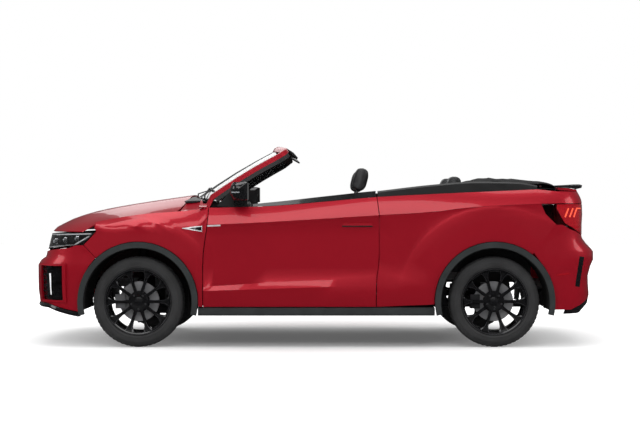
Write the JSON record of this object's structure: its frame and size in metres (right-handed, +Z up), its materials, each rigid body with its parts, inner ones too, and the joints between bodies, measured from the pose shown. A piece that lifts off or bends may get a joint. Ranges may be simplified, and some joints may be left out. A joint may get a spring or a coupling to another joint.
{
  "type": "two-door convertible compact suv",
  "caption": "Open-top compact sport utility car with a folded soft top, opening doors, bonnet and boot lid, steered and rolling wheels.",
  "frame": {"origin": "ground level under the middle of the car", "axes": "+X forward, +Y to the car's left, +Z up"},
  "size_m": [4.268, 2.1092, 1.516],
  "materials": {
    "paint": "metallic gloss",
    "cladding": "fine grain",
    "gloss_black": "gloss",
    "lamp_glass": "clear",
    "tail_lens": "tinted red",
    "clear_glass": "clear",
    "liner": "matt",
    "underbody": "satin",
    "painted_structure": "satin",
    "engine_alloy": "cast",
    "cabin_plastic": "fine grain",
    "upholstery": "satin",
    "roof_fabric": "woven",
    "chassis_steel": "satin",
    "exhaust_steel": "satin",
    "plate_white": "gloss",
    "cast_alloy": "cast",
    "steering_leather": "satin",
    "tyre_rubber": "matt",
    "wheel_black": "gloss"
  },
  "bodies": {
    "body": {"floor_pan": "underbody", "side_sills": "cladding", "front_structure": "painted_structure", "engine_block": "engine_alloy", "front_wings": "paint", "rear_quarters": "paint", "front_bumper": "paint", "front_grilles": "gloss_black", "front_splitter": "gloss_black", "headlamps": "lamp_glass", "rear_bumper": "paint", "rear_diffuser": "gloss_black", "tail_lamps": "tail_lens", "wheel_arch_trims": "cladding", "wheel_arch_liners": "liner", "windscreen_frame": "paint", "windscreen_glass": "clear_glass", "dashboard": "cabin_plastic", "centre_console": "cabin_plastic", "front_seats": "upholstery", "rear_seat": "upholstery", "rear_bulkhead": "underbody", "folded_soft_top": "roof_fabric", "front_suspension": "chassis_steel", "rear_axle": "chassis_steel", "exhaust": "exhaust_steel", "number_plates": "plate_white"},
    "bonnet": {"bonnet": "paint"},
    "boot_lid": {"boot_lid": "paint", "boot_spoiler": "gloss_black"},
    "door_left": {"door_left": "paint", "door_strip_left": "gloss_black", "mirror_left": "gloss_black"},
    "door_right": {"door_right": "paint", "door_strip_right": "gloss_black", "mirror_right": "gloss_black"},
    "knuckle_left": {"knuckle_left": "cast_alloy"},
    "knuckle_right": {"knuckle_right": "cast_alloy"},
    "steering_wheel": {"steering_wheel": "steering_leather"},
    "wheel_front_left": {"tyre_front_left": "tyre_rubber", "rim_front_left": "wheel_black"},
    "wheel_front_right": {"tyre_front_right": "tyre_rubber", "rim_front_right": "wheel_black"},
    "wheel_rear_left": {"tyre_rear_left": "tyre_rubber", "rim_rear_left": "wheel_black"},
    "wheel_rear_right": {"tyre_rear_right": "tyre_rubber", "rim_rear_right": "wheel_black"}
  },
  "joints": [
    {"name": "steer_left", "type": "hinge", "parent": "body", "child": "knuckle_left", "pos_m": [1.299, 0.735, 0.335], "axis": [0, 0, 1], "range_deg": [-35, 35]},
    {"name": "steer_right", "type": "hinge", "parent": "body", "child": "knuckle_right", "pos_m": [1.299, -0.735, 0.335], "axis": [0, 0, 1], "range_deg": [-35, 35]},
    {"name": "steering_wheel_turn", "type": "hinge", "parent": "body", "child": "steering_wheel", "pos_m": [0.4487, 0.365, 0.905], "axis": [-0.9135, 0, 0.4067], "range_deg": [-500, 500]},
    {"name": "door_left_hinge", "type": "hinge", "parent": "body", "child": "door_left", "pos_m": [0.728, 0.8605, 0.6], "axis": [0, 0, -1], "range_deg": [0, 65]},
    {"name": "door_right_hinge", "type": "hinge", "parent": "body", "child": "door_right", "pos_m": [0.728, -0.8605, 0.6], "axis": [0, 0, 1], "range_deg": [0, 65]},
    {"name": "bonnet_hinge", "type": "hinge", "parent": "body", "child": "bonnet", "pos_m": [1.034, 0, 1.03], "axis": [0, -1, 0], "range_deg": [0, 55]},
    {"name": "boot_lid_hinge", "type": "hinge", "parent": "body", "child": "boot_lid", "pos_m": [-1.87463, 0, 1.158], "axis": [0, 1, 0], "range_deg": [0, 80]},
    {"name": "wheel_front_left_spin", "type": "hinge", "parent": "knuckle_left", "child": "wheel_front_left", "pos_m": [1.299, 0.773, 0.335], "axis": [0, 1, 0], "continuous": true},
    {"name": "wheel_front_right_spin", "type": "hinge", "parent": "knuckle_right", "child": "wheel_front_right", "pos_m": [1.299, -0.773, 0.335], "axis": [0, 1, 0], "continuous": true},
    {"name": "wheel_rear_left_spin", "type": "hinge", "parent": "body", "child": "wheel_rear_left", "pos_m": [-1.331, 0.7705, 0.335], "axis": [0, 1, 0], "continuous": true},
    {"name": "wheel_rear_right_spin", "type": "hinge", "parent": "body", "child": "wheel_rear_right", "pos_m": [-1.331, -0.7705, 0.335], "axis": [0, 1, 0], "continuous": true}
  ],
  "couplings": [
    {"joint": "steer_right", "follows": "steer_left", "ratio": 1},
    {"joint": "steering_wheel_turn", "follows": "steer_left", "ratio": 14}
  ]
}
